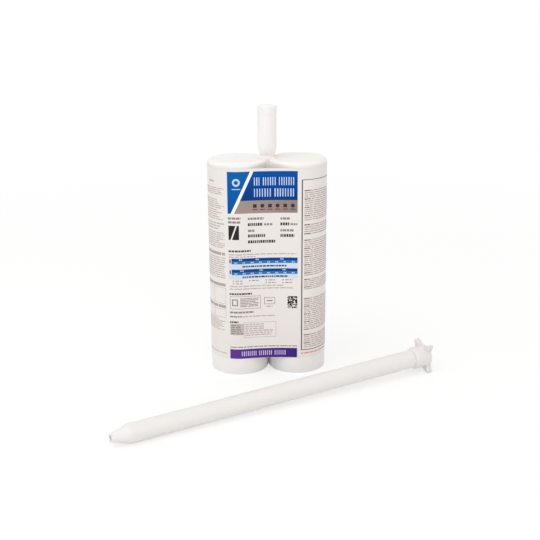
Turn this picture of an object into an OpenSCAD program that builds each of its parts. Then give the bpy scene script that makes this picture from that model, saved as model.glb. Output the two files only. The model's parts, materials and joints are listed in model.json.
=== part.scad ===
// Side-by-side two-part adhesive cartridge with its loose mixing nozzle.
// Two equal barrels are moulded in one piece with a shoulder, a central
// outlet neck and two separate outlet channels. Each barrel holds a filling
// and a sealed piston. The outlet is closed by a forked plug under a tall
// screw cap. The mixing nozzle lies on the floor in front of the barrels.
// The origin is midway between the barrels, on the plane of their rear edges.

/* [Barrels] */
// Inside diameter of each barrel
barrel_bore_d = 64.4; // [55:0.1:75]
// Wall thickness of each barrel
barrel_wall = 2; // [1.6:0.1:3]
// Height from the rear edges to the top of the shoulder
barrel_h = 254.2; // [200:0.2:300]
// Clear distance between the outer walls of the barrels
barrel_gap = 0.4; // [0.2:0.1:3]
// Front-to-back depth of the web that joins the barrels
web_depth = 4; // [3:0.5:20]
// Thickness of the closed end of each barrel
shoulder_t = 3; // [2:0.5:5]
// Radius of the rounded outer edge of the shoulder
shoulder_r = 4; // [2.5:0.5:6]
// How much wider each bore is at its rear mouth, on the radius
mouth_step = 0.6; // [0.3:0.1:1]
// Depth of that wider mouth
mouth_depth = 6; // [4:0.5:10]

/* [Outlet] */
// Diameter of the round boss under the neck
boss_d = 22; // [20:0.5:28]
// Height of the boss above the shoulder
boss_h = 2; // [1:0.5:5]
// Depth of the boss below the shoulder, in the valley between the barrels
boss_root = 14; // [6:1:30]
// Outside diameter of the neck
neck_d = 17; // [16:0.1:18]
// Height of the neck above the shoulder
neck_h = 26; // [20:1:34]
// Diameter of the circle that both outlet channels fill
channel_d = 12.4; // [9:0.1:13]
// Thickness of the wall between the two outlet channels
divider_t = 1.6; // [1.2:0.1:3]

/* [Pistons and fillings] */
// Height of each piston
piston_h = 14; // [12:1:20]
// Height of the piston's rear edge above the rear edge of its barrel
piston_rest = 7; // [6:0.5:20]
// Running gap between piston and bore, on the radius
piston_clear = 0.3; // [0.2:0.05:0.5]
// Thickness of the piston's front face
piston_face = 3; // [2:0.5:4]
// Thickness of the piston's skirt behind the seal groove
piston_skirt = 2; // [1.5:0.5:3]
// Number of ribs behind the piston's face
piston_ribs = 8; // [4:1:12]
// Thickness of those ribs
rib_t = 1.6; // [1:0.1:2.5]
// Diameter of the hub where the ribs meet
hub_d = 14; // [8:1:20]
// Cross-section diameter of the piston's sealing ring
seal_d = 3; // [2:0.1:4]
// Gap between the sealing ring and what it touches
seal_clear = 0.1; // [0.05:0.05:0.2]
// Gap between a filling and the walls round it
fill_clear = 0.05; // [0.02:0.01:0.2]

/* [Cap and plug] */
// Height of the cap's lower edge above the shoulder
cap_lift = 5.6; // [3:0.1:8]
// Height of the cap
cap_h = 53.6; // [40:0.2:64]
// Wall thickness of the cap
cap_wall = 1.9; // [1.2:0.1:3]
// How far the band round the cap's top stands out
cap_band_step = 0.35; // [0.2:0.05:1]
// Height of that band
cap_band_h = 8.7; // [5:0.1:12]
// Wall thickness at the cap's lower edge, where its skirt tapers in
cap_foot_wall = 0.85; // [0.6:0.05:1.2]
// Height of the taper at the cap's lower edge
cap_foot_h = 6; // [2:0.5:10]
// Radius of the rounded edge round the cap's top
cap_edge_r = 0.9; // [0.4:0.1:2]
// Thickness of the cap's closed top
cap_roof = 2; // [1.5:0.1:4]
// Gap between neck and cap, on the radius, which the screw thread fills
thread_gap = 0.4; // [0.3:0.05:0.6]
// Thickness of the plug's flange on the neck
plug_flange_t = 2; // [1.5:0.5:4]
// Length of the plug's two prongs in the channels
prong_len = 8; // [5:0.5:12]
// Gap round the prongs
prong_clear = 0.15; // [0.1:0.05:0.3]
// Width across the plug's cross-shaped stem
stem_w = 11; // [8:0.5:14]
// Thickness of the stem's ribs
stem_t = 2; // [1.5:0.1:3]
// Gap between faces that rest on each other and move apart
seat_gap = 0.2; // [0.1:0.05:0.3]

/* [Label] */
// Height of the label's lower edge above the rear edges of the barrels
label_z = 20; // [10:1:60]
// Distance from the top of the shoulder down to the label's upper edge
label_top_gap = 6; // [4:0.5:40]
// Thickness of the label
label_t = 0.35; // [0.2:0.05:0.6]
// Gap between the label and the barrels
label_clear = 0.05; // [0.03:0.01:0.1]
// How far the label sags into the valley between the barrels
label_sag = 2.4; // [0.8:0.1:6]

/* [Mixing nozzle] */
// Length from the tip to the open end of the nut
nozzle_len = 396.6; // [300:0.1:420]
// Outside diameter of the mixing tube behind its tip
tube_d = 20.9; // [18:0.1:24]
// How much wider the mixing tube is at the nut, on the radius
tube_flare = 0.35; // [0:0.05:0.8]
// Wall thickness of the mixing tube behind its tip
tube_wall = 1.6; // [1.2:0.1:2]
// Outside diameter of the tip
tip_d = 10.5; // [8:0.5:12]
// Length of the straight end of the tip
tip_straight = 2.5; // [2:0.5:10]
// Length of the tip with its cone
tip_len = 19.8; // [14:0.1:30]
// Bore of the tip
tip_bore_d = 6.8; // [4:0.1:7]
// Outside diameter of the nozzle's neck, where the nut turns
inlet_d = 14.8; // [13:0.1:15]
// Wall thickness of the nozzle's neck
inlet_wall = 1.5; // [1.2:0.1:2]
// Diameter of the flange that keeps the nut on
flange_d = 17; // [16:0.1:17.2]
// Thickness of that flange
flange_t = 2; // [1.5:0.5:3]
// Number of twisted elements in the mixing strip
element_count = 16; // [8:1:18]
// Free length of the bore behind the mixing strip
strip_end_gap = 1; // [0.5:0.5:10]
// Blade thickness of the mixing strip
blade_t = 1.8; // [1:0.1:2.5]
// Gap between the mixing strip and the tube
blade_clear = 0.2; // [0.1:0.05:0.4]

/* [Winged nut] */
// Length of the nut
nut_len = 22; // [20:0.5:28]
// Diameter of the nut's round body
nut_d = 25.8; // [24:0.2:30]
// Thickness of the nut's inner end wall
nut_wall = 3; // [2:0.5:4]
// Depth of the threaded socket in the nut
socket_depth = 15; // [12:0.5:16]
// Gap between the cartridge's neck and that socket, on the radius
socket_clear = 0.6; // [0.5:0.05:0.8]
// Length of the nut's curved shoulder on the tube side
nut_round = 4.5; // [2:0.5:6]
// Height over the wings' flat ends, as the nut lies on two of them
wing_w = 35; // [30:0.1:38]
// Width over the wings, across that height
wing_across = 27.4; // [24:0.2:34]
// How much the tips are cut back, along the flat end of a wing
wing_corner = 0.7; // [0.3:0.1:0.9]
// Thickness of the wings along the nut
wing_t = 6.8; // [4:0.1:10]
// Length of the flat end of a wing, measured from its corner
wing_flat = 3; // [1:0.5:4]
// Width of the groove round the wings
groove_w = 1.2; // [0.8:0.1:2]
// Depth of that groove
groove_depth = 0.8; // [0.4:0.1:1.2]
// Gap round the nozzle's neck and flange inside the nut
nut_clear = 0.25; // [0.15:0.05:0.3]

/* [Resting place of the nozzle] */
// Sideways place of the tip's end
nozzle_x = -170.2; // [-250:0.2:-100]
// Forward place of the tip's end
nozzle_y = -203.6; // [-260:0.2:-120]
// Turn of the nozzle on the floor
nozzle_turn = 25.7; // [0:0.1:40]

/* [Hidden] */
$fn = 72;
// How far cuts run past a face, and joined solids into each other
lap = 1;
barrel_r = barrel_bore_d / 2 + barrel_wall;
barrel_x = barrel_r + barrel_gap / 2;
mouth_r = barrel_bore_d / 2 + mouth_step;
bore_top = barrel_h - shoulder_t;
neck_top = barrel_h + neck_h;
piston_r = barrel_bore_d / 2 - piston_clear;
piston_front = piston_rest + piston_h;
seal_r = barrel_bore_d / 2 - seal_clear - seal_d / 2;
seal_z = piston_front - piston_face - seal_d / 2;
groove_r = seal_r - seal_d / 2 - seal_clear;
cap_z = barrel_h + cap_lift;
cap_bore_r = neck_d / 2 + thread_gap;
cap_r = cap_bore_r + cap_wall;
plug_z = neck_top + seat_gap;
plug_top = cap_z + cap_h - cap_roof - seat_gap;
sag_r = (pow(barrel_r - label_sag, 2) + pow(barrel_x, 2) - pow(barrel_r, 2)) / (2 * label_sag);
sag_y = sag_r + barrel_r - label_sag;
sag_turn = atan(barrel_x / sag_y);
nut_z = nozzle_len - nut_len;
flange_z = nut_z + nut_wall + seat_gap;
cavity_r = flange_d / 2 + nut_clear;
socket_r = neck_d / 2 + socket_clear;
tube_end = nut_z - seat_gap;
tube_bore_r = tube_d / 2 - tube_wall;
inlet_bore_r = inlet_d / 2 - inlet_wall;
tube_throat = tube_end - tube_wall - (tube_bore_r - inlet_bore_r);
strip_z = tip_len + tube_wall + seat_gap;
element_len = (tube_throat - strip_end_gap - strip_z) / element_count;
nozzle_tilt = atan((wing_w - tube_d) / 2 / (nozzle_len - wing_t - tip_len));
nozzle_z = tube_d / 2 * cos(nozzle_tilt) - tip_len * sin(nozzle_tilt);
wing_dip = (wing_w - nut_d) / 2;
wing_chord = wing_w / 2 - wing_flat;
wing_tip_r = sqrt(pow(wing_w / 2, 2) + pow(wing_w / 2 - wing_corner, 2));
wing_hollow_r = (pow(wing_chord, 2) + pow(wing_dip, 2)) / (2 * wing_dip);

// Places its children on the axis of the left barrel (side -1) or the right one (side 1).
module at_barrel(side) {
    translate([side * barrel_x, 0, 0]) children();
}

// Half of the section of a round body with one rounded top edge, for revolving.
module rounded_section(r, h, edge) {
    square([r - edge, h]);
    square([r, h - edge]);
    translate([r - edge, h - edge]) circle(edge);
}

// A round body from z0 to z1 with a rounded top edge.
module rounded_cylinder(r, z0, z1, edge) {
    translate([0, 0, z0]) rotate_extrude() intersection() {
        rounded_section(r, z1 - z0, edge);
        square([r, z1 - z0]);
    }
}

// Outline of one outlet channel, a half circle beside the divider.
module channel_outline(side, gap) {
    intersection() {
        circle(channel_d / 2 - gap);
        translate([side > 0 ? divider_t / 2 + gap : -channel_d - divider_t / 2 - gap, -channel_d])
            square([channel_d, 2 * channel_d]);
    }
}

// The bore of one barrel with its wider mouth and a short cone between the two.
module barrel_bore() {
    rounded_cylinder(barrel_bore_d / 2, -lap, bore_top, shoulder_r - barrel_wall);
    translate([0, 0, -lap]) cylinder(r = mouth_r, h = mouth_depth + lap);
    translate([0, 0, mouth_depth]) cylinder(r1 = mouth_r, r2 = mouth_r - mouth_step, h = mouth_step);
}

// Barrels, web, shoulder, boss and neck: one moulding.
module cartridge_body() {
    color("whitesmoke") difference() {
        union() {
            for (side = [-1, 1])
                at_barrel(side) rounded_cylinder(barrel_r, 0, barrel_h, shoulder_r);
            translate([-barrel_x, -web_depth / 2, 0])
                cube([2 * barrel_x, web_depth, barrel_h - shoulder_r / 2]);
            translate([0, 0, barrel_h - boss_root]) cylinder(d = boss_d, h = boss_root + boss_h);
            translate([0, 0, barrel_h]) cylinder(d = neck_d, h = neck_h);
        }
        for (side = [-1, 1]) {
            at_barrel(side) barrel_bore();
            translate([0, 0, bore_top - lap])
                linear_extrude(shoulder_t + neck_h + 2 * lap) channel_outline(side, 0);
        }
    }
}

// Half of the wrap's outline, from the middle of the sag over one barrel to the other sag.
// Points follow the barrel's circle and the hollow arcs that touch it.
function wrap_side(out, side) = concat(
    [for (k = [0:1:5]) let (a = sag_turn * k / 6)
        [side * (sag_r - out) * sin(a), -side * (sag_y - (sag_r - out) * cos(a))]],
    [for (k = [0:1:48]) let (a = -90 - sag_turn + (180 + 2 * sag_turn) * k / 48)
        [side * (barrel_x + (barrel_r + out) * cos(a)), side * (barrel_r + out) * sin(a)]],
    [for (k = [5:-1:1]) let (a = sag_turn * k / 6)
        [side * (sag_r - out) * sin(a), side * (sag_y - (sag_r - out) * cos(a))]]
);

// The printed wrap round both barrels, drawn tight over the valleys.
module label() {
    color("cornflowerblue") translate([0, 0, label_z])
        linear_extrude(barrel_h - label_top_gap - label_z) difference() {
            polygon(concat(wrap_side(label_clear + label_t, 1), wrap_side(label_clear + label_t, -1)));
            polygon(concat(wrap_side(label_clear, 1), wrap_side(label_clear, -1)));
        }
}

// One filling: the full bore in front of the piston and the channel up to the plug.
module filling(side) {
    at_barrel(side)
        rounded_cylinder(barrel_bore_d / 2 - fill_clear, piston_front, bore_top,
                         shoulder_r - barrel_wall);
    translate([0, 0, bore_top - lap])
        linear_extrude(plug_z - prong_len - fill_clear - bore_top + lap) channel_outline(side, fill_clear);
}

module fill_left() { color("white") filling(-1); }
module fill_right() { color("dimgray") filling(1); }

// One piston: a face, a grooved skirt, and a ribbed pocket behind.
module piston() {
    pocket_r = groove_r - piston_skirt;
    pocket_h = piston_h - piston_face;
    translate([0, 0, piston_rest]) {
        difference() {
            cylinder(r = piston_r, h = piston_h);
            translate([0, 0, -lap]) cylinder(r = pocket_r, h = pocket_h + lap);
            translate([0, 0, seal_z - piston_rest - seal_d / 2 - seal_clear]) difference() {
                cylinder(r = piston_r + lap, h = seal_d + 2 * seal_clear);
                translate([0, 0, -lap]) cylinder(r = groove_r, h = seal_d + 2 * seal_clear + 2 * lap);
            }
        }
        for (k = [0:1:piston_ribs - 1])
            rotate([0, 0, k * 360 / piston_ribs])
                translate([0, -rib_t / 2, rib_t])
                    cube([pocket_r + piston_skirt / 2, rib_t, pocket_h - rib_t / 2]);
        translate([0, 0, rib_t]) cylinder(d = hub_d, h = pocket_h - rib_t / 2);
    }
}

module piston_left() { color("gainsboro") at_barrel(-1) piston(); }
module piston_right() { color("gainsboro") at_barrel(1) piston(); }

// The ring in the groove of one piston.
module piston_seal() {
    translate([0, 0, seal_z]) rotate_extrude() translate([seal_r, 0]) circle(d = seal_d);
}

module seal_left() { color("dimgray") at_barrel(-1) piston_seal(); }
module seal_right() { color("dimgray") at_barrel(1) piston_seal(); }

// The forked plug: two prongs, a flange, and a cross-shaped stem that reaches the cap's roof.
module outlet_plug() {
    color("gainsboro") {
        for (side = [-1, 1])
            translate([0, 0, plug_z - prong_len])
                linear_extrude(prong_len + plug_flange_t / 2) channel_outline(side, prong_clear);
        translate([0, 0, plug_z]) cylinder(d = neck_d, h = plug_flange_t);
        for (turn = [0, 90])
            rotate([0, 0, turn]) translate([-stem_w / 2, -stem_t / 2, plug_z + plug_flange_t / 2])
                cube([stem_w, stem_t, plug_top - plug_z - plug_flange_t]);
        translate([0, 0, plug_top - plug_flange_t]) cylinder(d = stem_w + stem_t, h = plug_flange_t);
    }
}

// The tall screw cap, with a band round its top and a foot that tapers in.
module closure_cap() {
    color("white") translate([0, 0, cap_z]) difference() {
        union() {
            cylinder(r1 = cap_bore_r + cap_foot_wall, r2 = cap_r, h = cap_foot_h);
            translate([0, 0, cap_foot_h]) cylinder(r = cap_r, h = cap_h - cap_band_h - cap_foot_h + lap);
            rounded_cylinder(cap_r + cap_band_step, cap_h - cap_band_h, cap_h, cap_edge_r);
        }
        translate([0, 0, -lap]) cylinder(r = cap_bore_r, h = cap_h - cap_roof + lap);
    }
}

// Lays a nozzle piece, drawn standing on its tip, on the floor in front of the barrels.
// The shoulder behind the tip's cone and two wings of the nut touch the floor.
module laid_down() {
    translate([nozzle_x, nozzle_y, nozzle_z]) rotate([0, 90 - nozzle_tilt, nozzle_turn]) children();
}

// The mixing tube, revolved: conical tip, long tube that widens a little, and a flanged neck for the nut.
module nozzle_tube() {
    tube_head = flange_z + flange_t;
    color("snow") laid_down() rotate_extrude() difference() {
        polygon([[0, 0], [tip_d / 2, 0], [tip_d / 2, tip_straight], [tube_d / 2, tip_len],
                 [tube_d / 2 + tube_flare, tube_end], [inlet_d / 2, tube_end], [inlet_d / 2, flange_z],
                 [flange_d / 2, flange_z], [flange_d / 2, tube_head], [0, tube_head]]);
        polygon([[0, -lap], [tip_bore_d / 2, -lap], [tip_bore_d / 2, tip_straight + tube_wall],
                 [tube_bore_r, tip_len + tube_wall], [tube_bore_r, tube_throat],
                 [inlet_bore_r, tube_throat + tube_bore_r - inlet_bore_r],
                 [inlet_bore_r, tube_head + lap], [0, tube_head + lap]]);
    }
}

// The mixing strip: half-turn blades, by turns left-handed and right-handed, each
// set at a right angle to the one before it.
module mixing_element() {
    blade_w = 2 * (tube_bore_r - blade_clear);
    color("white") laid_down() translate([0, 0, strip_z])
        for (k = [0:1:element_count - 1])
            translate([0, 0, k * element_len]) rotate([0, 0, 90 * k])
                linear_extrude(element_len + (k < element_count - 1 ? blade_t / 2 : 0),
                               twist = (k % 2 == 0 ? 180 : -180), slices = 12, $fn = 8)
                    square([blade_w, blade_t], center = true);
}

// Four wings with hollow sides between them, higher than they are wide.
module wing_outline(inset) {
    scale([1, wing_across / wing_w]) intersection() {
        difference() {
            square(wing_w - 2 * inset, center = true);
            for (k = [0:1:3])
                rotate([0, 0, 90 * k])
                    translate([wing_w / 2 - wing_dip + wing_hollow_r - inset, 0])
                        circle(wing_hollow_r, $fn = 144);
        }
        circle(wing_tip_r - inset);
    }
}

// The winged nut: round body with a curved shoulder, four wings, and the threaded socket.
module nozzle_nut() {
    color("snow") laid_down() translate([0, 0, nut_z]) difference() {
        union() {
            translate([0, 0, nut_len]) mirror([0, 0, 1])
                rounded_cylinder(nut_d / 2, 0, nut_len, nut_round);
            translate([0, 0, nut_len - wing_t]) linear_extrude((wing_t - groove_w) / 2) wing_outline(0);
            translate([0, 0, nut_len - wing_t]) linear_extrude(wing_t) wing_outline(groove_depth);
            translate([0, 0, nut_len - (wing_t - groove_w) / 2])
                linear_extrude((wing_t - groove_w) / 2) wing_outline(0);
        }
        translate([0, 0, -lap]) cylinder(r = inlet_d / 2 + nut_clear, h = nut_len);
        translate([0, 0, nut_wall]) cylinder(r = cavity_r, h = nut_len);
        translate([0, 0, nut_len - socket_depth]) cylinder(r = socket_r, h = socket_depth + lap);
    }
}

cartridge_body();
label();
fill_left();
fill_right();
piston_left();
piston_right();
seal_left();
seal_right();
outlet_plug();
closure_cap();
nozzle_tube();
mixing_element();
nozzle_nut();
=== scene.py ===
"""Looks of a two-part adhesive cartridge and its loose mixing nozzle.

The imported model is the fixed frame. Each of its nodes gets a finish here. The
printed wrap, the two fillings and the mixing strip are replaced by finer
pieces, and the screw threads, the print, the floor, the lamps and the camera
are added. Lengths are in metres, and MM turns millimetres into metres.
"""

import json
import logging
import math
from collections.abc import Callable, Iterator
from contextlib import contextmanager
from dataclasses import dataclass, field
from enum import Enum
from functools import cache

import bmesh
import bpy
import numpy as np
from mathutils import Matrix, Vector

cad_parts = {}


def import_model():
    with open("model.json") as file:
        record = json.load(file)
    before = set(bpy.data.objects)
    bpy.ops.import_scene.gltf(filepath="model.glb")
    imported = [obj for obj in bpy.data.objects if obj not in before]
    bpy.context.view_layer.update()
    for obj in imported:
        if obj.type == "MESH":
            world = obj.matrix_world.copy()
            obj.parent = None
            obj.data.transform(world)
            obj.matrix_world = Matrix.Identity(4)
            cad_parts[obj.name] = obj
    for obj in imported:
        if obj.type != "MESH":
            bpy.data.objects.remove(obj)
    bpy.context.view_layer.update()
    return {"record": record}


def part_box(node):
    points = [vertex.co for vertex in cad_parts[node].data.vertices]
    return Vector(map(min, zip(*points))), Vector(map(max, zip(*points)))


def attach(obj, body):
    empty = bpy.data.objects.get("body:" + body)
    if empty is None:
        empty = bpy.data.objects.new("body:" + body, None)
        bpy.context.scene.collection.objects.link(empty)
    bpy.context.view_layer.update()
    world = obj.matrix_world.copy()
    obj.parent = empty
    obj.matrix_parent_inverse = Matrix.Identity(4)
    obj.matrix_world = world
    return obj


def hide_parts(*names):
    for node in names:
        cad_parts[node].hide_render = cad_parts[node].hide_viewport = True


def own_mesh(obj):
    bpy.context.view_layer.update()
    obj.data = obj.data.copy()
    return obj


MM = 0.001
WHITE = (1.0, 1.0, 1.0, 1.0)
# Numbers of the colour sockets of Blender's mix node.
MIX_SHARE, MIX_LOW, MIX_HIGH, MIX_RESULT = 0, 6, 7, 2
# Dark blots lose this much more blue than red, so they are a little warmer than the ground.
BLUE_LOSS = 1.2
# Share of red, green and blue in how far light travels under the surface of plastic.
CLOUD_REACH = (1.0, 0.9, 0.8)
PLASTIC_IOR = 1.49
Colour = tuple[int, int, int]
Tint = bpy.types.NodeSocket | tuple[float, float, float, float]

log = logging.getLogger("cartridge")


def linear(colour: Colour) -> tuple[float, float, float, float]:
    """Turns a screen colour into the shader's linear one.

    Args:
        colour: Red, green and blue from 0 to 255.

    Returns:
        Linear red, green, blue and an alpha of 1.
    """
    shares = (channel / 255 for channel in colour)
    return (*(s / 12.92 if s <= 0.04045 else ((s + 0.055) / 1.055) ** 2.4 for s in shares), 1.0)


class NodeSheet:
    """The nodes of one material, or of the world."""

    def __init__(self, owner: bpy.types.Material | bpy.types.World) -> None:
        """Clears the owner's nodes, so that new ones can be laid out."""
        owner.use_nodes = True
        self.tree = owner.node_tree
        self.tree.nodes.clear()

    def add(self, kind: str, sockets: dict[str | int, object] | None = None,
            **settings: object) -> bpy.types.Node:
        """Adds one node.

        Args:
            kind: Blender's name for the type of node.
            sockets: Input names or numbers, each with a value or with the output that feeds it.
            **settings: Properties of the node itself.

        Returns:
            The new node.
        """
        node = self.tree.nodes.new(kind)
        for key, value in settings.items():
            setattr(node, key, value)
        for key, value in (sockets or {}).items():
            if isinstance(value, bpy.types.NodeSocket):
                self.tree.links.new(value, node.inputs[key])
            else:
                node.inputs[key].default_value = value
        return node

    def noise(self, size: float, detail: float = 2.0) -> bpy.types.NodeSocket:
        """Adds noise on Object coordinates.

        Args:
            size: Size of its largest blots.
            detail: Octaves of finer noise in it.

        Returns:
            The noise's height, from 0 to 1.
        """
        place = self.add("ShaderNodeTexCoord").outputs["Object"]
        sockets = {"Vector": place, "Scale": 1 / size, "Detail": detail}
        return self.add("ShaderNodeTexNoise", sockets).outputs[0]

    def mix(self, share: object, low: object, high: object, way: str = "MIX") -> bpy.types.NodeSocket:
        """Mixes two colours.

        Args:
            share: Share of the second one, or the output that sets it.
            low: Colour or output at a share of 0.
            high: Colour or output at a share of 1.
            way: Blender's name for the way of mixing.

        Returns:
            The mixed colour.
        """
        sockets = {MIX_SHARE: share, MIX_LOW: low, MIX_HIGH: high}
        return self.add("ShaderNodeMix", sockets, data_type="RGBA", blend_type=way).outputs[MIX_RESULT]

    def bump(self, size: float, depth: float,
             under: bpy.types.NodeSocket | None = None) -> bpy.types.NodeSocket:
        """Gives the normal of soft bumps, raised on another normal where one is given."""
        sockets = {"Height": self.noise(size, 1.0), "Distance": depth}
        if under is not None:
            sockets["Normal"] = under
        return self.add("ShaderNodeBump", sockets).outputs[0]

    def spread(self, value: bpy.types.NodeSocket, low: float, high: float,
               source: tuple[float, float] = (0.3, 0.7)) -> bpy.types.NodeSocket:
        """Maps a value onto a range.

        Args:
            value: Output to map.
            low: Result at the source's lower end.
            high: Result at the source's upper end.
            source: Range that is mapped.

        Returns:
            The mapped value.
        """
        sockets = {"Value": value, "From Min": source[0], "From Max": source[1],
                   "To Min": low, "To Max": high}
        return self.add("ShaderNodeMapRange", sockets).outputs[0]

    def looking(self) -> bpy.types.NodeSocket:
        """Gives 1 for camera, glossy and transmission rays, and 0 for those that only light."""
        rays = self.add("ShaderNodeLightPath").outputs
        seen = rays["Is Camera Ray"]
        for kind in ("Is Glossy Ray", "Is Transmission Ray"):
            seen = self.add("ShaderNodeMath", {0: seen, 1: rays[kind]}, operation="MAXIMUM").outputs[0]
        return seen


@dataclass(frozen=True)
class Finish:
    """A mottled colour with varying gloss and a fine grain.

    Attributes:
        name: Name of the finish.
        colour: Colour where the mottle is lightest.
        mottle: Share by which the darkest blots are darker.
        blot: Size of the blots.
        roughness: Mean roughness.
        roughness_spread: How far the roughness varies to each side.
        grain: Size of the surface grain.
        grain_depth: Depth of that grain.
        ripple: Size of broad waves in the surface.
        ripple_depth: Depth of those waves.
        specular: Strength of the reflection at the front.
    """

    name: str
    colour: Colour
    mottle: float = 0.02
    blot: float = 25 * MM
    roughness: float = 0.45
    roughness_spread: float = 0.05
    grain: float = 0.4 * MM
    grain_depth: float = 0.008 * MM
    ripple: float = 18 * MM
    ripple_depth: float = 0.03 * MM
    specular: float = 0.5

    def tint(self, sheet: NodeSheet) -> Tint:
        """The colour before its mottle."""
        return linear(self.colour)

    def tune(self, shader: bpy.types.Node) -> None:
        """Sets constants on the shader that only some finishes have."""

    @cache
    def material(self) -> bpy.types.Material:
        """Builds the material once, and gives the same one from then on.

        Returns:
            The finished material.
        """
        material = bpy.data.materials.new(f"{self.name}_finish")
        sheet = NodeSheet(material)
        dark = (1 - self.mottle, 1 - self.mottle, 1 - self.mottle * BLUE_LOSS, 1.0)
        blots = sheet.mix(sheet.spread(sheet.noise(self.blot, 3.0), 0.0, 1.0), dark, WHITE)
        gloss = sheet.spread(sheet.noise(self.blot / 3), self.roughness - self.roughness_spread,
                             self.roughness + self.roughness_spread)
        waves = sheet.bump(self.ripple, self.ripple_depth)
        shader = sheet.add("ShaderNodeBsdfPrincipled", {
            "Base Color": sheet.mix(1.0, self.tint(sheet), blots, "MULTIPLY"),
            "Roughness": gloss,
            "Normal": sheet.bump(self.grain, self.grain_depth, waves),
            "Specular IOR Level": self.specular})
        self.tune(shader)
        sheet.add("ShaderNodeOutputMaterial", {"Surface": shader.outputs[0]})
        return material


@dataclass(frozen=True)
class Moulding(Finish):
    """Moulded plastic that lets some light in.

    Attributes:
        cloud: Share of the light that scatters under the surface.
        cloud_depth: How far that light travels.
        clear: Share of the light that passes through.
    """

    cloud: float = 0.15
    cloud_depth: float = 3 * MM
    clear: float = 0.0

    def tune(self, shader: bpy.types.Node) -> None:
        """Sets the scatter and the clearness on the shader."""
        for name, value in (("Subsurface Weight", self.cloud), ("Subsurface Radius", CLOUD_REACH),
                            ("Subsurface Scale", self.cloud_depth), ("Transmission Weight", self.clear),
                            ("IOR", PLASTIC_IOR)):
            shader.inputs[name].default_value = value


class Over(Enum):
    """How far an ink stands off the film: fields lie under the marks that are printed on them."""

    FIELD = 0.04 * MM
    MARK = 0.075 * MM


@dataclass(frozen=True)
class Fade:
    """A second colour of an ink, which fades into the ink's own.

    Attributes:
        colour: Colour at the fade's start.
        start: Place of its start, along the axis.
        end: Place of its end, where the ink's own colour is reached.
        axis: Axis of the fade.
    """

    colour: Colour
    start: float
    end: float
    axis: str = "Z"


@dataclass(frozen=True)
class Ink(Finish):
    """Printing ink on the film.

    Attributes:
        fade: The fade, where the ink has one.
        over: How far the ink stands off the film.
    """

    fade: Fade | None = None
    over: Over = Over.FIELD
    specular: float = 0.04

    def tint(self, sheet: NodeSheet) -> Tint:
        """The ink's colour, or its fade."""
        if self.fade is None:
            return linear(self.colour)
        place = sheet.add("ShaderNodeTexCoord").outputs["Object"]
        along = sheet.add("ShaderNodeSeparateXYZ", {0: place}).outputs[self.fade.axis]
        share = sheet.spread(along, 0.0, 1.0, (self.fade.start, self.fade.end))
        return sheet.mix(share, linear(self.fade.colour), linear(self.colour))


CARTRIDGE_PLASTIC = Moulding("cartridge_plastic", (247, 243, 240), roughness=0.42, cloud=0.5,
                             cloud_depth=2.5 * MM)
CAP_PLASTIC = Moulding("cap_plastic", (248, 245, 244), mottle=0.012, roughness=0.38, blot=12 * MM, cloud=0.3,
                       cloud_depth=1 * MM)
PISTON_PLASTIC = Moulding("piston_plastic", (236, 234, 228), roughness=0.5, blot=10 * MM)
PLUG_PLASTIC = Moulding("plug_plastic", (235, 233, 227), roughness=0.5, blot=6 * MM)
NOZZLE_PLASTIC = Moulding("nozzle_plastic", (250, 246, 243), mottle=0.015, roughness=0.36, blot=14 * MM,
                          ripple=9 * MM, cloud=0.5, cloud_depth=1 * MM, clear=0.1)
# Painted shade: the nut's colour is set darker than the tube's plastic, to stand in for shade that falls on
# the nut.
SHADED_NUT_PLASTIC = Moulding("nut_plastic", (240, 237, 235), roughness=0.36, blot=8 * MM, cloud=0.3,
                       cloud_depth=1.5 * MM, clear=0.05)
MIXER_PLASTIC = Moulding("mixer_plastic", (245, 243, 238), roughness=0.4, blot=8 * MM)
SEAL_RUBBER = Finish("seal_rubber", (58, 58, 60), mottle=0.1, blot=3 * MM, roughness=0.6, grain=0.2 * MM)
RESIN_PASTE = Finish("resin_paste", (226, 221, 206), mottle=0.06, blot=9 * MM, roughness=0.3,
                     ripple_depth=0.4 * MM)
HARDENER_PASTE = Finish("hardener_paste", (98, 98, 102), mottle=0.12, blot=9 * MM, roughness=0.3,
                        ripple_depth=0.4 * MM)
LABEL_FILM = Moulding("label_film", (237, 232, 229), mottle=0.012, blot=30 * MM, roughness=0.36,
                      grain=0.25 * MM, grain_depth=0.003 * MM, ripple=28 * MM, ripple_depth=0.05 * MM,
                      cloud=0.1, cloud_depth=0.1 * MM)
CAD_FINISHES: dict[str, Finish] = {
    "cartridge_body": CARTRIDGE_PLASTIC,
    "closure_cap": CAP_PLASTIC,
    "outlet_plug": PLUG_PLASTIC,
    "piston_left": PISTON_PLASTIC,
    "piston_right": PISTON_PLASTIC,
    "seal_left": SEAL_RUBBER,
    "seal_right": SEAL_RUBBER,
    "nozzle_tube": NOZZLE_PLASTIC,
    # The nut's finish is darker than the tube's, which is painted shade.
    "nozzle_nut": SHADED_NUT_PLASTIC,
}


def only(piece: bpy.types.Object) -> None:
    """Deselects everything and makes one piece the active one."""
    bpy.ops.object.select_all(action="DESELECT")
    piece.select_set(True)
    bpy.context.view_layer.objects.active = piece


@contextmanager
def editing(piece: bpy.types.Object) -> Iterator[None]:
    """Opens a piece in edit mode with nothing selected, and closes it again."""
    only(piece)
    bpy.ops.object.mode_set(mode="EDIT")
    bpy.ops.mesh.select_all(action="DESELECT")
    yield
    bpy.ops.object.mode_set(mode="OBJECT")


def apply_modifier(piece: bpy.types.Object, kind: str, **settings: object) -> None:
    """Adds one modifier to a piece and applies it.

    Args:
        piece: Piece to change.
        kind: Blender's name for the type of modifier.
        **settings: Its properties.
    """
    only(piece)
    modifier = piece.modifiers.new(kind.lower(), kind)
    for key, value in settings.items():
        setattr(modifier, key, value)
    bpy.ops.object.modifier_apply(modifier=modifier.name)


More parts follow.
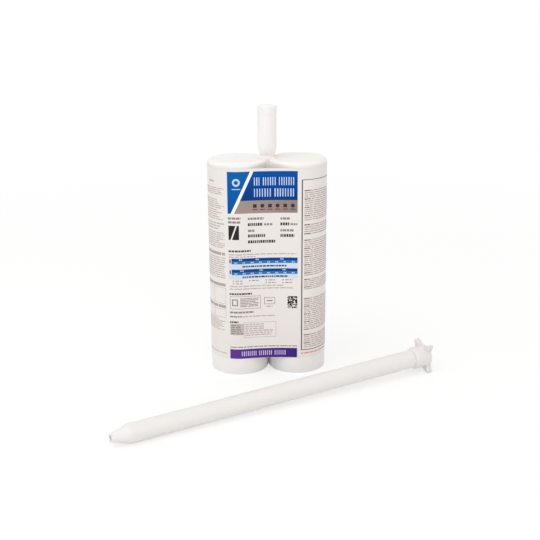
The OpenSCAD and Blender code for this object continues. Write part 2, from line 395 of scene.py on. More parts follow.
def smooth(piece: bpy.types.Object, degrees: float) -> None:
    """Shades a piece smooth, but for edges that turn by more than some degrees."""
    only(piece)
    bpy.ops.object.shade_smooth_by_angle(angle=math.radians(degrees))


def add_shape(operator: Callable[..., object], scale: tuple[float, float, float] = (1, 1, 1),
              **settings: object) -> bpy.types.Object:
    """Adds one of Blender's basic shapes by its operator, with its place and size in its mesh."""
    bpy.ops.object.select_all(action="DESELECT")
    operator(**settings)
    bpy.context.object.scale = scale
    bpy.ops.object.transform_apply(location=True, rotation=True, scale=True)
    return bpy.context.object


def dress(piece: bpy.types.Object, finish: Finish) -> None:
    """Gives a piece one finish in place of what it has."""
    piece.data.materials.clear()
    piece.data.materials.append(finish.material())
    log.info("%s: dressed in %s", piece.name, finish.name)


def hand_over(piece: bpy.types.Object, name: str, body: str, slot: str, finish: Finish,
              stands_for: tuple[str, ...] = ()) -> None:
    """Names and dresses a finished piece and hands it to the frame.

    Args:
        piece: The piece, with its place in its mesh.
        name: Its name.
        body: Body that it moves with.
        slot: Material slot of the record. Not used.
        finish: Its finish.
        stands_for: Nodes of the frame that it replaces.
    """
    piece.name = piece.data.name = name
    dress(piece, finish)
    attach(piece, body)
    if stands_for:
        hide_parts(*stands_for)
    log.info("%s: %d faces on %s", name, len(piece.data.polygons), body)


@dataclass
class Wrap:
    """The film that is drawn round both barrels and over the valleys between them.

    A place on it is a distance along it from the middle of the front, positive
    to the right, a height, and a lift off its outer face.

    Attributes:
        radius: Radius of the outer face over a barrel.
        offset: Distance of a barrel's axis from the middle.
        low: Height of the lower edge.
        high: Height of the upper edge.
        sag: How far the film dips into each valley.
        thickness: Thickness of the film.
        overlap: Width of the seam at the back, where the ends lie on each other.
        ramp: Length over which the upper end climbs onto the lower one.
        gap: Gap between the two ends.
        cell: Length of the mesh's faces along the film.
    """

    radius: float
    offset: float
    low: float
    high: float
    sag: float = 2.4 * MM
    thickness: float = 0.3 * MM
    overlap: float = 8 * MM
    ramp: float = 2.5 * MM
    gap: float = 0.03 * MM
    cell: float = 1.25 * MM

    @classmethod
    def from_frame(cls) -> "Wrap":
        """Takes the wrap's sizes from the frame's own label."""
        low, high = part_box("label")
        return cls(radius=high.y, offset=high.x - high.y, low=low.z, high=high.z)

    @property
    def reach(self) -> float:
        """Distance from a barrel's axis to the centre of the hollow arc in front of the valley."""
        return (self.sag ** 2 + self.offset ** 2) / (2 * self.sag)

    @property
    def turn(self) -> float:
        """Half the angle of a hollow arc."""
        return math.asin(self.offset / self.reach)

    @property
    def hollow(self) -> float:
        """Length of half a hollow arc."""
        return (self.reach - self.radius) * self.turn

    @property
    def half(self) -> float:
        """Half the length round the wrap."""
        return 2 * self.hollow + self.radius * (math.pi + 2 * self.turn)

    def bend(self, piece: bpy.types.Object) -> None:
        """Bends a flat piece round the barrels.

        Args:
            piece: A piece with x along the film, z as its height and minus y as its lift.
        """
        count = len(piece.data.vertices)
        flat = np.empty(count * 3)
        piece.data.vertices.foreach_get("co", flat)
        along, lift, height = flat[0::3], -flat[1::3], flat[2::3]
        along = (along + self.half) % (2 * self.half) - self.half
        side, run = np.where(along < 0, -1.0, 1.0), np.abs(along)
        hollow_r, centre = self.reach - self.radius, self.reach - self.sag
        front, back = run < self.hollow, run > self.half - self.hollow
        angle = -math.pi / 2 - self.turn + (run - self.hollow) / self.radius
        normal = np.stack([np.cos(angle), np.sin(angle)])
        place = normal * self.radius + np.array([[self.offset], [0.0]])
        bow = np.where(front, run, self.half - run) / hollow_r
        face = np.where(front, 1.0, -1.0)
        hollow_place = np.stack([hollow_r * np.sin(bow), -face * (centre - hollow_r * np.cos(bow))])
        hollow_normal = np.stack([-np.sin(bow), -face * np.cos(bow)])
        in_hollow = front | back
        place = np.where(in_hollow, hollow_place, place) + lift * np.where(in_hollow, hollow_normal, normal)
        round_points = np.stack([side * place[0], place[1], height], axis=1)
        piece.data.vertices.foreach_set("co", round_points.ravel())
        piece.data.update()

    def build(self) -> None:
        """Builds the film with its seam at the back."""
        start, end = -self.half - self.overlap / 2, self.half + self.overlap / 2
        film = add_shape(
            bpy.ops.mesh.primitive_grid_add, (end - start, self.high - self.low, 1), size=1,
            x_subdivisions=round((end - start) / self.cell), y_subdivisions=2,
            location=((start + end) / 2, 0, (self.low + self.high) / 2), rotation=(math.pi / 2, 0, 0))
        apply_modifier(film, "SOLIDIFY", thickness=self.thickness, offset=-1)
        for point in film.data.vertices:
            share = (point.co.x - (self.half - self.overlap / 2 - self.ramp)) / self.ramp
            point.co.y -= (self.thickness + self.gap) * min(1.0, max(0.0, share))
        self.bend(film)
        smooth(film, 30)
        hand_over(film, "printed_wrap", "cartridge", "label_film", LABEL_FILM, ("label",))


class Stencil:
    """The flat artwork of one ink, drawn inside a with block and bent round the wrap at its end.

    All that is drawn lies between a left and a right end along the wrap, and
    between a low and a high edge over the floor, in millimetres.

    Attributes:
        FIELD_CELL, DISC_CELL: Length of the cells of a field and of a disc.
        RING_STEPS: Number of cells round a ring.
        WORD_GAP: Gap between two groups of bars, as a share of the bars' pitch.
        BAR_WIDTH, BAR_SPREAD: Width of the thinnest bar and how much wider the widest is, as such shares.
        THICKNESS: Thickness of the ink.
    """

    FIELD_CELL = 1.5
    DISC_CELL = 1.2
    RING_STEPS = 32
    WORD_GAP = 0.8
    BAR_WIDTH = 0.32
    BAR_SPREAD = 0.16
    THICKNESS = 0.06 * MM

    def __init__(self, name: str, ink: Ink, wrap: Wrap, seed: int = 1) -> None:
        """Lays out an empty sheet, with the start of its random word lengths."""
        self.name, self.ink, self.wrap = name, ink, wrap
        self.random = np.random.default_rng(seed)
        self.piece = bpy.data.objects.new(name, bpy.data.meshes.new(name))
        bpy.context.scene.collection.objects.link(self.piece)

    def __enter__(self) -> "Stencil":
        """Opens the sheet for drawing."""
        only(self.piece)
        bpy.ops.object.mode_set(mode="EDIT")
        return self

    def __exit__(self, *error: object) -> None:
        """Closes the sheet, gives it its thickness and bends it round the wrap."""
        bpy.ops.object.mode_set(mode="OBJECT")
        for point in self.piece.data.vertices:
            point.co.y = -self.ink.over.value
        apply_modifier(self.piece, "SOLIDIFY", thickness=self.THICKNESS, offset=-1)
        self.wrap.bend(self.piece)
        smooth(self.piece, 30)
        hand_over(self.piece, self.name, "cartridge", "label_film", self.ink)

    def fresh_points(self) -> Iterator[bmesh.types.BMVert]:
        """Goes through the points of the shape that was added last."""
        mesh = bmesh.from_edit_mesh(self.piece.data)
        for point in mesh.verts:
            if point.select:
                yield point

    def grid(self, left: float, right: float, low: float, high: float, columns: int, rows: int,
             lean_left: float = 0.0, lean_right: float = 0.0) -> None:
        """Adds a rectangle of cells and leaves it selected."""
        bpy.ops.mesh.select_all(action="DESELECT")
        bpy.ops.mesh.primitive_grid_add(x_subdivisions=columns, y_subdivisions=rows, size=1)
        for point in self.fresh_points():
            across, up = point.co.x + 0.5, point.co.y + 0.5
            slide = up * (lean_left * (1 - across) + lean_right * across)
            point.co = ((left + across * (right - left) + slide) * MM, 0, (low + up * (high - low)) * MM)

    def cells(self, left: float, right: float, low: float, high: float, inked: np.ndarray) -> None:
        """Adds only the inked cells of a rectangle, told by row from the top and by column."""
        rows, columns = inked.shape
        self.grid(left, right, low, high, columns, rows)
        mesh = bmesh.from_edit_mesh(self.piece.data)
        for face in [face for face in mesh.faces if face.select]:
            place = face.calc_center_median()
            column = int((place.x / MM - left) / (right - left) * columns)
            row = int((high - place.z / MM) / (high - low) * rows)
            face.select_set(not inked[row, column])
        bmesh.update_edit_mesh(self.piece.data)
        bpy.ops.mesh.delete(type="FACE")

    def field(self, left: float, right: float, low: float, high: float, lean_left: float = 0.0,
              lean_right: float = 0.0) -> None:
        """Adds a field of colour, whose sides lean to the right by so much on their way up."""
        widest = max(right - left, right + lean_right - left - lean_left)
        columns = max(1, round(widest / self.FIELD_CELL))
        rows = max(1, round((high - low) / self.FIELD_CELL)) if lean_left or lean_right else 1
        self.grid(left, right, low, high, columns, rows, lean_left, lean_right)

    def outline(self, left: float, right: float, low: float, high: float, line: float) -> None:
        """Adds four lines round a rectangle."""
        self.field(left, right, high - line, high)
        self.field(left, right, low, low + line)
        self.field(left, left + line, low + line, high - line)
        self.field(right - line, right, low + line, high - line)

    def disc(self, middle: float, height: float, radius: float) -> None:
        """Adds a disc."""
        cells = max(2, round(2 * radius / self.DISC_CELL))
        self.grid(middle - radius, middle + radius, height - radius, height + radius, cells, cells)
        for point in self.fresh_points():
            x, z = (point.co.x / MM - middle) / radius, (point.co.z / MM - height) / radius
            point.co.x = (middle + radius * x * math.sqrt(1 - z * z / 2)) * MM
            point.co.z = (height + radius * z * math.sqrt(1 - x * x / 2)) * MM

    def ring(self, middle: float, height: float, radius: float, hole: float) -> None:
        """Adds a ring from a strip that is rolled up and closed."""
        self.grid(0, 1, 0, 1, self.RING_STEPS, 2)
        for point in self.fresh_points():
            turn, size = point.co.x / MM * math.tau, hole + (radius - hole) * point.co.z / MM
            point.co = ((middle + size * math.sin(turn)) * MM, 0, (height + size * math.cos(turn)) * MM)
        bmesh.update_edit_mesh(self.piece.data)
        bpy.ops.mesh.remove_doubles(threshold=MM / 1000)

    def text(self, left: float, right: float, low: float, high: float, lines: int = 1, cell: float = 1.0,
             word: tuple[int, int] = (2, 7), ragged: float = 0.25) -> None:
        """Adds rows of plain dashes that stand in for lines of small print.

        Args:
            left, right: Ends of the longest lines.
            low, high: Foot of the last line and top of the first.
            lines: Number of lines.
            cell: Length of a gap, and the step in a dash's length.
            word: Shortest and longest dash, in cells.
            ragged: Share of a line that its right end may fall short.
        """
        columns = max(1, round((right - left) / cell))
        inked = np.zeros((2 * lines - 1, columns), bool)
        for line in range(lines):
            end = columns if lines == 1 else columns - int(self.random.random() ** 2 * ragged * columns)
            at = 0
            while at < end:
                length = int(self.random.integers(word[0], word[1] + 1))
                inked[2 * line, at:min(at + length, end)] = True
                at += length + 1
        self.cells(left, right, low, high, inked)

    def bars(self, left: float, right: float, low: float, high: float, words: tuple[int, ...]) -> None:
        """Adds a row of upright bars, so many to each word, that stands in for a line of large print."""
        slots = sum(words) + self.WORD_GAP * (len(words) - 1)
        pitch, at = (right - left) / slots, left
        for word in words:
            for _ in range(word):
                width = pitch * (self.BAR_WIDTH + self.BAR_SPREAD * self.random.random())
                self.field(at, at + width, low, high)
                at += pitch
            at += self.WORD_GAP * pitch


@dataclass
class Artwork:
    """The print on the wrap: fields of colour and plain stand-ins for its words and signs.

    All its places are in millimetres: along the wrap from the middle of the front,
    and as heights over the floor.

    Attributes:
        wrap: The wrap that it is printed on.
        left: Left edge of the front panel.
        right: Right edge of the front panel.
        top: Height of the header's upper edge.
        header_low: Height of the lower edge of the header's right field.
        strip_low: Height of the lower edge of the strip under it.
        stripe_lean: How far the slanting stripe leans to the right on its way up.
    """

    wrap: Wrap
    left: float = -47.1
    right: float = 32.4
    top: float = 244.9
    header_low: float = 211.7
    strip_low: float = 197.0
    stripe_lean: float = 22.6

    def sheet(self, name: str, colour: Colour, seed: int = 1, **looks: object) -> Stencil:
        """Opens an empty sheet, with an ink of the same name and of these looks."""
        return Stencil(f"print_{name}", Ink(f"ink_{name}", colour, **looks), self.wrap, seed)

    def header(self) -> None:
        """Prints the two blue fields, the white stripe between them and the stone strip."""
        lean, stripe_left, stripe_right = self.stripe_lean, self.left + 3.6, self.left + 7.3
        low_lean = lean * (self.header_low - self.strip_low) / (self.top - self.strip_low)
        fade = Fade((11, 88, 164), 0.2, 0.24)
        with self.sheet("azure", (13, 99, 175), fade=fade, mottle=0.04) as sheet:
            sheet.field(self.left, stripe_left - 0.1, self.strip_low, self.top, 0, lean)
        with self.sheet("white", (250, 250, 250), mottle=0.01) as sheet:
            sheet.field(stripe_left, stripe_right, self.strip_low, self.top, lean, lean)
        fade = Fade((10, 64, 142), 0.218, 0.246)
        with self.sheet("royal", (9, 84, 170), fade=fade, mottle=0.04) as sheet:
            sheet.field(stripe_right + low_lean + 0.1, self.right, self.header_low, self.top,
                        lean - low_lean, 0)
        fade = Fade((166, 149, 143), -0.03, 0.03, "X")
        with self.sheet("stone", (149, 133, 127), fade=fade, mottle=0.03) as sheet:
            sheet.field(stripe_right + 0.1, self.right, self.strip_low, self.header_low, low_lean, 0)

    def header_marks(self) -> None:
        """Prints the plain ring and blocks that stand where the header had its words."""
        with self.sheet("header_marks", (196, 216, 244), over=Over.MARK) as sheet:
            sheet.ring(-37.0, 232.6, 4.4, 2.3)
            sheet.field(-41.9, -32.2, 224.6, 225.5)
            sheet.bars(-16.7, 30.0, 228.8, 238.0, (3, 6, 7))
            sheet.bars(-16.7, 30.0, 215.8, 225.2, (7, 8))
        with self.sheet("strip_marks", (66, 57, 54), over=Over.MARK) as sheet:
            for number in range(6):
                middle = -16.0 + 8.6 * number
                if number % 2:
                    sheet.disc(middle, 205.4, 2.3)
                else:
                    sheet.field(middle - 2.1, middle + 2.1, 203.3, 207.4)
                sheet.field(middle - 2.8, middle + 2.8, 200.8, 201.7)

    def front_text(self) -> None:
        """Prints the dark and grey rows of the front panel."""
        with self.sheet("dark", (50, 45, 46), seed=3) as sheet:
            for left, right, middle in ((-24.1, -7.3, 183.9), (-24.1, -3.8, 170.6), (-24.1, 6.9, 163.6),
                                        (13.0, 23.0, 183.9), (13.0, 28.8, 170.3)):
                sheet.text(left, right, middle - 1.7, middle + 1.7, cell=0.7, word=(2, 3))
            self.app_square(sheet)
            self.code_block(sheet)
        with self.sheet("headings", (86, 79, 79), seed=16) as sheet:
            for left, right, middle in ((-46.8, -21.0, 152.9), (-46.7, -20.4, 101.2), (-46.8, -36.6, 66.4)):
                sheet.text(left, right, middle - 1.1, middle + 1.1, cell=0.6, word=(3, 6))
        with self.sheet("grey", (146, 139, 139), seed=4) as sheet:
            for left, right, middle, tall in ((-46.8, -32.3, 191.5, 2.4), (-46.8, -32.8, 187.0, 2.4),
                                              (-24.1, -6.0, 190.7, 2.6), (-24.1, -16.7, 176.6, 2.6),
                                              (13.0, 23.5, 190.3, 2.6), (13.0, 28.6, 176.4, 2.6),
                                              (-5.6, 3.7, 183.7, 2.4), (24.5, 32.3, 183.7, 2.4),
                                              (-46.5, -18.2, 78.5, 2.2), (-46.6, -32.4, 73.3, 1.8)):
                sheet.text(left, right, middle - tall / 2, middle + tall / 2, cell=0.7, word=(3, 6))
            self.notes(sheet)
            self.boxes(sheet)
            sheet.text(-46.8, 32.4, 34.2, 35.4, word=(2, 9))
        with self.sheet("faint", (190, 176, 178), seed=5) as sheet:
            for left, right, low in ((-46.8, 30.9, 148.1), (-46.8, -15.6, 145.4), (-45.8, 16.3, 109.9),
                                     (-46.0, 27.3, 106.7), (-31.8, 6.5, 72.6)):
                sheet.text(left, right, low, low + 1.2, word=(3, 9))
            sheet.text(-28.6, 4.0, 49.2, 63.6, lines=6, word=(3, 7), ragged=0.45)

    def app_square(self, sheet: Stencil) -> None:
        """Prints the square with a slanting bare bar in it."""
        left, right, low, high, bar, lean = -46.5, -34.4, 166.4, 183.0, 1.8, 6.0
        start = left + 2.2
        sheet.field(left, start, low, high, 0, lean)
        sheet.field(start + bar, right, low, high, lean, 0)

    def code_block(self, sheet: Stencil) -> None:
        """Prints a plain chequer of small cells that holds no code."""
        left, low, wide, tall = 21.0, 82.3, 11.4, 14.8
        columns, rows, bare_share = 12, 15, 0.36
        bare = sheet.random.random((columns, rows)) < bare_share
        sheet.cells(left, left + wide, low, low + tall, ~bare.T[::-1])

    def notes(self, sheet: Stencil) -> None:
        """Prints the two rows of small notes under the tables, each with its dot."""
        for middle, lefts in ((117.1, (-42.3, -23.4, -4.3, 15.2)), (113.9, (-42.3, -4.3, 15.2))):
            for left in lefts:
                sheet.field(left, left + 1.4, middle - 0.7, middle + 0.7)
                sheet.text(left + 3.2, left + 12.0, middle - 0.5, middle + 0.5, word=(2, 5))

    def boxes(self, sheet: Stencil) -> None:
        """Prints the outlined boxes, the plain marks in them and the table's lines."""
        sheet.outline(-46.1, -10.1, 82.7, 98.3, 0.5)
        sheet.outline(-43.8, -36.9, 86.4, 94.8, 1.3)
        sheet.text(-34.2, -12.4, 85.4, 95.8, lines=6, word=(5, 14))
        sheet.outline(-6.1, 6.5, 87.4, 96.0, 0.6)
        sheet.field(-3.1, 3.5, 91.0, 92.4)
        sheet.text(-3.5, 3.7, 84.4, 85.3, word=(3, 6))
        sheet.outline(-30.4, 7.6, 46.6, 65.7, 0.3)

    def tables(self) -> None:
        """Prints the two blue table bars, their pale strips and the table's brown cell."""
        bars = ((137.5, 144.1), (124.4, 131.0))
        with self.sheet("table_dark", (8, 76, 150), mottle=0.05) as sheet:
            for low, high in bars:
                sheet.field(-43.6, 32.6, (low + high) / 2, high)
        with self.sheet("table_blue", (58, 116, 184), mottle=0.05) as sheet:
            for low, high in bars:
                sheet.field(-43.6, 32.6, low, (low + high) / 2)
        with self.sheet("table_ice", (212, 225, 241)) as sheet:
            for (low, high), foot in zip(bars, (131.2, 119.2)):
                sheet.field(-46.8, 32.6, foot, low - 0.2)
                sheet.field(-46.8, -43.8, low, high)
        with self.sheet("table_marks", (190, 214, 242), over=Over.MARK, seed=7) as sheet:
            for (low, high), columns in zip(bars, ((-35.0, -15.6, 12.8), (-33.6, -11.4, 15.3))):
                for left in columns:
                    sheet.text(left, left + 4.0, high - 2.4, high - 0.9, cell=0.5, word=(2, 3))
                for column in range(8):
                    left = -40.2 + 9.45 * column
                    sheet.text(left, left + 3.2, low + 0.7, low + 2.2, cell=0.5, word=(2, 3))
        with self.sheet("table_words", (38, 60, 102), over=Over.MARK, seed=8) as sheet:
            sheet.text(-31.0, 19.9, 133.4, 135.2, cell=0.7, word=(2, 6))
            sheet.text(-31.0, 20.9, 120.7, 122.5, cell=0.7, word=(2, 6))
            for low, _ in bars:
                sheet.field(-46.0, -44.6, low + 1.1, low + 5.5)
        with self.sheet("table_cell", (204, 195, 191), mottle=0.03) as sheet:
            sheet.field(-46.6, -30.4, 50.2, 64.3)
        with self.sheet("cell_words", (142, 134, 131), over=Over.MARK, seed=9) as sheet:
            sheet.text(-45.6, -31.4, 51.4, 63.1, lines=5, word=(2, 6))

    def foot_band(self) -> None:
        """Prints the violet band along the foot of the front panel."""
        fade = Fade((98, 60, 152), -0.045, 0.035, "X")
        with self.sheet("violet", (63, 39, 127), fade=fade, mottle=0.05) as sheet:
            sheet.field(self.left, self.right, 20.25, 32.2)
        with self.sheet("violet_marks", (216, 200, 240), over=Over.MARK) as sheet:
            sheet.bars(-33.2, 20.0, 23.4, 29.4, (8, 7, 6))

    def side_panels(self) -> None:
        """Prints the two side panels, which run round to the back, as rows of plain dashes."""
        with self.sheet("rules", (96, 86, 84)) as sheet:
            sheet.field(37.0, 38.3, 29.0, 235.0)
            sheet.field(38.3, 112.0, 234.3, 235.0)
            sheet.field(38.3, 112.0, 29.0, 29.9)
            sheet.field(111.0, 112.0, 29.9, 234.3)
        paragraphs = ((222.8, 187.8, 15), (183.1, 171.3, 5), (165.0, 121.9, 18), (117.7, 105.1, 6),
                      (94.3, 54.7, 17), (49.0, 32.2, 7))
        with self.sheet("right_panel", (190, 174, 172), seed=11) as sheet:
            for high, low, lines in paragraphs:
                sheet.text(40.3, 109.0, low, high, lines=lines, word=(3, 12), ragged=0.2)
        with self.sheet("right_heads", (112, 99, 98), over=Over.MARK, seed=15) as sheet:
            for high, low, lines in paragraphs:
                pitch = (high - low) / (lines - 0.5)
                for line in range(0, lines, 4):
                    sheet.text(40.3, 47.0, high - pitch * (line + 0.5), high - pitch * line, word=(2, 4))
        with self.sheet("left_panel", (197, 185, 182), seed=12) as sheet:
            for high, low, lines in ((225.5, 218.0, 4), (212.2, 202.0, 5), (200.2, 188.6, 5),
                                     (185.0, 177.0, 3), (173.8, 155.6, 8), (144.4, 119.4, 10)):
                sheet.text(-126.0, -51.4, low, high, lines=lines, word=(4, 14), ragged=0.15)
            sheet.text(-126.0, -53.0, 54.6, 68.6, lines=7, word=(3, 12), ragged=0.3)
            sheet.text(-126.0, -51.4, 25.6, 26.8, word=(4, 14))
        with self.sheet("left_bands", (176, 171, 170), seed=13) as sheet:
            sheet.text(-75.0, -66.0, 231.4, 233.4, word=(2, 5))
            for middle in (148.6, 111.2, 84.6):
                sheet.text(-122.0, -51.4, middle - 1.7, middle + 1.7, word=(8, 20))
            for low, high in ((88.0, 107.6), (70.8, 81.2)):
                sheet.outline(-122.0, -51.4, low, high, 0.35)
                sheet.field(-69.0, -68.6, low + 0.35, high - 0.35)
        with self.sheet("red_line", (224, 156, 152), seed=14) as sheet:
            sheet.text(37.2, 76.0, 24.4, 26.2, cell=0.9, word=(2, 8))

    def build(self) -> None:
        """Prints every ink in turn."""
        self.header()
        self.header_marks()
        self.front_text()
        self.tables()
        self.foot_band()
        self.side_panels()


@dataclass
class Thread:
    """One ridge of a right-hand screw thread.

    Attributes:
        name: Name of the piece.
        body: Body that it moves with.
        finish: Its finish, which has the name of its material slot.
        root: Radius at the ridge's root, which lies in the wall.
        crest: Radius at the ridge's crest.
        low: Height of its start on its axis.
        turns: Number of turns.
        pitch: Rise of one turn.
        foot: Half the ridge's width at its root.
        top: Half the ridge's width at its crest.
        steps: Number of steps in one turn.
        fade: Share of a turn over which each end rises out of the wall.
        place: Where the axis stands.
    """

    name: str
    body: str
    finish: Finish
    root: float
    crest: float
    low: float
    turns: int
    pitch: float = 3 * MM
    foot: float = 0.6 * MM
    top: float = 0.25 * MM
    steps: int = 60
    fade: float = 0.25
    place: Matrix = field(default_factory=Matrix)

    def build(self) -> None:
        """Screws a trapezium round the axis, closes its ends and fades them into the wall."""
        ridge = add_shape(bpy.ops.mesh.primitive_plane_add, size=1)
        profile = ((self.root, -self.foot), (self.crest, -self.top),
                   (self.root, self.foot), (self.crest, self.top))
        for point, (radius, height) in zip(ridge.data.vertices, profile):
            point.co = (radius, 0, height)
        with editing(ridge):
            bpy.ops.mesh.select_all(action="SELECT")
            bpy.ops.mesh.delete(type="ONLY_FACE")
        apply_modifier(ridge, "SCREW", axis="Z", screw_offset=self.pitch, iterations=self.turns,
                       steps=self.steps, render_steps=self.steps, use_smooth_shade=True)
        for point in ridge.data.vertices:
            x, y, z = point.co
            radius, share = math.hypot(x, y), math.atan2(y, x) / math.tau
            run = round(z / self.pitch - share) + share
            end = min(1.0, max(0.0, min(run, self.turns - run) / self.fade))
            size = (self.root + (radius - self.root) * end) / radius
            point.co = (x * size, y * size, z + self.low)
        with editing(ridge):
            bpy.ops.mesh.select_non_manifold()
            bpy.ops.mesh.fill_holes(sides=4)
            bpy.ops.mesh.select_all(action="SELECT")
            bpy.ops.mesh.normals_make_consistent(inside=False)
        ridge.data.transform(self.place)
        smooth(ridge, 40)
        hand_over(ridge, self.name, self.body, self.finish.name, self.finish)


@dataclass
class Nozzle:
    """The loose nozzle: its own axis from the tip to the nut, and the strip inside.

    Attributes:
        tip: Middle of the tip's open end.
        axis: Direction from the tip to the nut.
        elements: Number of twisted elements in the strip.
        blade: Thickness of the strip.
        cuts: Number of steps that an element's twist is made in.
        edge: Width of the strip's rounded edges.
    """

    tip: Vector
    axis: Vector
    elements: int = 16
    blade: float = 1.8 * MM
    cuts: int = 24
    edge: float = 0.25 * MM

    @classmethod
    def from_frame(cls, record: dict) -> "Nozzle":
        """Takes the axis from the record's socket mount, and the tip from the tube's own mesh.

        Args:
            record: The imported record.
        """
        socket = next(m for m in record["mounts"] if m["name"] == "nozzle_socket")
        axis, point = Vector(socket["axis"]).normalized(), Vector(socket["pos_m"])
        tube = bpy.data.objects["nozzle_tube"]
        start = min((v.co - point).dot(axis) for v in tube.data.vertices)
        return cls(tip=point + axis * start, axis=axis)

    @property
    def place(self) -> Matrix:
        """Turns a piece drawn upright on its tip into the nozzle's place, with its x side down."""
        side = self.axis.cross(Vector((0, 0, -1))).normalized()
        down = side.cross(self.axis)
        turn = Matrix((down, side, self.axis)).transposed().to_4x4()
        return Matrix.Translation(self.tip) @ turn

    def span(self, node: str) -> tuple[float, float, float]:
        """Measures a node along the nozzle.

        Args:
            node: Name of the node.

        Returns:
            Its start and end along the axis and its largest radius.
        """
        home = self.place.inverted()
        points = np.array([home @ v.co for v in bpy.data.objects[node].data.vertices])
        return points[:, 2].min(), points[:, 2].max(), np.hypot(points[:, 0], points[:, 1]).max()

    def strip(self) -> None:
        """Builds the mixing strip from half-turn blades of alternating hand."""
        start, end, radius = self.span("mixing_element")
        length = (end - start) / self.elements
        width = 2 * math.sqrt(radius ** 2 - (self.blade / 2) ** 2)
        blades = []
        for number in range(self.elements):
            blade = add_shape(bpy.ops.mesh.primitive_cube_add, (width, self.blade, length), size=1,
                              location=(0, 0, length / 2))
            with editing(blade):
                bpy.ops.mesh.select_all(action="SELECT")
                for cut in range(1, self.cuts):
                    bpy.ops.mesh.bisect(plane_co=(0, 0, length * cut / self.cuts), plane_no=(0, 0, 1))
                    bpy.ops.mesh.select_all(action="SELECT")
            hand = 1 if number % 2 == 0 else -1
            for point in blade.data.vertices:
                twist = hand * math.pi * point.co.z / length
                point.co = Matrix.Rotation(math.radians(90 * number) + twist, 3, "Z") @ point.co
            blade.data.transform(Matrix.Translation((0, 0, start + length * number)))
            blades.append(blade)
        only(blades[0])
        for blade in blades:
            blade.select_set(True)
        bpy.ops.object.join()
        strip = bpy.context.object
        strip.data.transform(self.place)
        apply_modifier(strip, "BEVEL", width=self.edge, segments=2, limit_method="ANGLE",
                       angle_limit=math.radians(50))
        smooth(strip, 35)
        hand_over(strip, "static_mixer", "cartridge", "mixer_plastic", MIXER_PLASTIC, ("mixing_element",))

    def build(self) -> None:
        """Builds the strip and the nut's thread."""
        self.strip()
        end = self.span("nozzle_nut")[1]
        # The nut's thread takes the nut's finish, whose darker colour is painted shade.
        Thread("nut_thread", "nut", SHADED_NUT_PLASTIC, root=9.15 * MM, crest=8.75 * MM,
               low=end - 12 * MM, turns=3, place=self.place).build()


@dataclass
class Filling:
    """One component of the adhesive, in its barrel in front of its piston.

    Attributes:
        side: Name of the side.
        finish: Its finish.
        slot: Material slot of the record.
        roof: Height of the barrel's closed end, towards which the filling is pressed.
        pressed: Thickness that is left of the filling at the end of the piston's travel. Not used.
        edge: Width of the rounded edge under the closed end.
    """

    side: str
    finish: Finish
    slot: str
    roof: float = 251.2 * MM
    pressed: float = 2 * MM
    edge: float = 2 * MM

    def build(self) -> None:
        """Builds the filling of the barrel, up to its closed end, with a rounded upper edge."""
        node = f"fill_{self.side}"
        low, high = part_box(node)
        radius = (high.y - low.y) / 2
        middle = low.x + radius if self.side == "left" else high.x - radius
        charge = add_shape(bpy.ops.mesh.primitive_cylinder_add, vertices=128, radius=radius,
                           depth=self.roof - low.z, location=(middle, 0, (self.roof + low.z) / 2))
        with editing(charge):
            mesh = bmesh.from_edit_mesh(charge.data)
            for edge in mesh.edges:
                edge.select_set(all(abs(point.co.z - self.roof) < MM / 10 for point in edge.verts))
            bmesh.update_edit_mesh(charge.data)
            bpy.ops.mesh.bevel(offset=self.edge, segments=6)
        smooth(charge, 40)
        hand_over(charge, f"filling_{self.side}", "cartridge", self.slot, self.finish, (node,))
        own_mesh(charge)


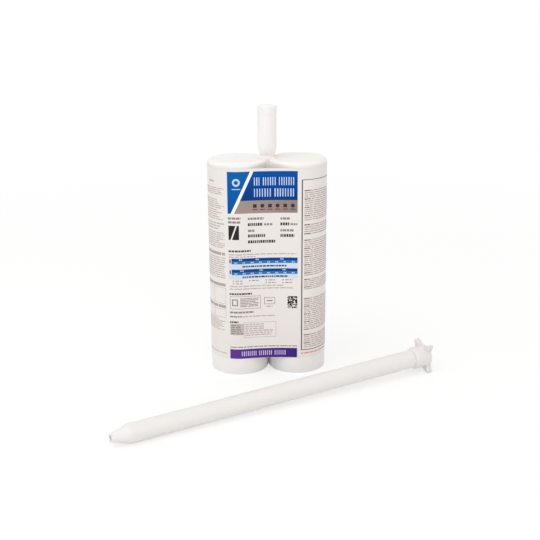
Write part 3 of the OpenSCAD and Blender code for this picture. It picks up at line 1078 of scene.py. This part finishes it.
@dataclass
class Studio:
    """White floor, soft lamps and the camera of the photograph.

    Attributes:
        lens: Focal length in millimetres on a 36 mm sensor.
        distance: Distance from the camera to the point that it looks at.
        aim: Point that the camera looks at.
        turn_deg: Turn of the camera round the upright axis.
        pitch_deg: How far the camera looks down.
        roll_deg: Turn of the camera round its own line of sight.
        floor_tone: Colour of the floor where it throws light back.
        seen_tone: Share of light that the seen floor throws back, which carries the shadow.
        glow: Strength of the seen floor's own light.
        white_from: Distances from the middle between which the seen floor turns plain white.
        daylight: Strength of the light from all round.
        tinge: Colour of all light.
        lamp_aim: Point that the lamps face.
    """

    lens: float = 61.401
    distance: float = 1095.5 * MM
    aim: Vector = field(default_factory=lambda: Vector((2.568 * MM, -0.14 * MM, 118.84 * MM)))
    turn_deg: float = -3.109
    pitch_deg: float = 17.759
    roll_deg: float = -0.314
    floor_tone: Colour = (238, 238, 237)
    seen_tone: float = 0.4
    glow: float = 0.62
    white_from: tuple[float, float] = (0.45, 1.2)
    daylight: float = 0.79
    tinge: tuple[float, float, float] = (1.0, 0.988, 0.98)
    lamp_aim: Vector = field(default_factory=lambda: Vector((0, 0, 0.12)))

    def camera(self) -> None:
        """Places the camera."""
        turn = (Matrix.Rotation(math.radians(self.turn_deg), 4, "Z")
                @ Matrix.Rotation(math.radians(90 - self.pitch_deg), 4, "X")
                @ Matrix.Rotation(math.radians(self.roll_deg), 4, "Z"))
        data = bpy.data.cameras.new("camera")
        data.lens, data.sensor_width = self.lens, 36
        data.clip_start, data.clip_end = 10 * MM, 60
        camera = bpy.data.objects.new("camera", data)
        place = self.aim + turn.to_3x3() @ Vector((0, 0, self.distance))
        camera.matrix_world = Matrix.Translation(place) @ turn
        bpy.context.scene.collection.objects.link(camera)
        bpy.context.scene.camera = camera

    def floor(self) -> None:
        """Lays the floor, which looks white and still takes the object's shadow."""
        floor = add_shape(bpy.ops.mesh.primitive_plane_add, size=60)
        floor.name = "floor"
        paper = bpy.data.materials.new("floor_paper")
        sheet = NodeSheet(paper)
        matt = sheet.add("ShaderNodeBsdfDiffuse", {"Color": linear(self.floor_tone)})
        seen_matt = sheet.add("ShaderNodeBsdfDiffuse", {"Color": (*[self.seen_tone] * 3, 1)})
        glow = sheet.add("ShaderNodeEmission", {"Color": WHITE, "Strength": self.glow})
        near = sheet.add("ShaderNodeAddShader", {0: seen_matt.outputs[0], 1: glow.outputs[0]})
        white = sheet.add("ShaderNodeEmission", {"Color": WHITE, "Strength": 1.0})
        place = sheet.add("ShaderNodeTexCoord").outputs["Object"]
        reach = sheet.add("ShaderNodeVectorMath", {0: place}, operation="LENGTH").outputs["Value"]
        away = sheet.spread(reach, 0.0, 1.0, self.white_from)
        seen = sheet.add("ShaderNodeMixShader", {0: away, 1: near.outputs[0], 2: white.outputs[0]})
        mix = sheet.add("ShaderNodeMixShader", {
            0: sheet.looking(), 1: matt.outputs[0], 2: seen.outputs[0]})
        sheet.add("ShaderNodeOutputMaterial", {"Surface": mix.outputs[0]})
        floor.data.materials.append(paper)

    def world(self) -> None:
        """Lights the scene evenly from all round, and shows white behind it."""
        world = bpy.data.worlds.new("studio")
        bpy.context.scene.world = world
        sheet = NodeSheet(world)
        light = sheet.add("ShaderNodeBackground", {"Color": (*self.tinge, 1), "Strength": self.daylight})
        white = sheet.add("ShaderNodeBackground", {"Color": WHITE, "Strength": 1.0})
        mix = sheet.add("ShaderNodeMixShader", {
            0: sheet.looking(), 1: light.outputs[0], 2: white.outputs[0]})
        sheet.add("ShaderNodeOutputWorld", {"Surface": mix.outputs[0]})

    def lamp(self, name: str, place: tuple[float, float, float], size: float, power: float) -> None:
        """Hangs one square softbox that faces the object.

        Args:
            name: Name of the lamp.
            place: Where it hangs.
            size: Length of its sides.
            power: Its power in watts.
        """
        data = bpy.data.lights.new(name, "AREA")
        data.shape, data.size, data.energy = "SQUARE", size, power
        data.color = self.tinge
        lamp = bpy.data.objects.new(name, data)
        back = Vector(place) - self.lamp_aim
        lamp.matrix_world = Matrix.Translation(place) @ back.to_track_quat("Z", "Y").to_matrix().to_4x4()
        bpy.context.scene.collection.objects.link(lamp)

    def build(self) -> None:
        """Sets up the whole studio."""
        self.camera()
        self.floor()
        self.world()
        self.lamp("key_lamp", (-1.0, -0.7, 2.0), 1.4, 10)
        self.lamp("fill_lamp", (0.1, -1.9, 0.8), 1.4, 6.3)
        bpy.context.scene.view_settings.view_transform = "Standard"


def main() -> None:
    """Builds the whole scene round the frame."""
    logging.basicConfig(level=logging.INFO, format="%(message)s")
    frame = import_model()
    Studio().build()
    for name, finish in CAD_FINISHES.items():
        dress(bpy.data.objects[name], finish)
    wrap = Wrap.from_frame()
    wrap.build()
    Artwork(wrap).build()
    neck_start = 261.2 * MM
    Thread("neck_thread", "cartridge", CARTRIDGE_PLASTIC, root=8.45 * MM, crest=8.8 * MM,
           low=neck_start, turns=4).build()
    Thread("cap_thread", "cap", CAP_PLASTIC, root=8.95 * MM, crest=8.6 * MM,
           low=neck_start + Thread.pitch / 2, turns=3).build()
    Nozzle.from_frame(frame["record"]).build()
    Filling("left", RESIN_PASTE, "fill_resin").build()
    Filling("right", HARDENER_PASTE, "fill_hardener").build()


if __name__ == "__main__":
    main()
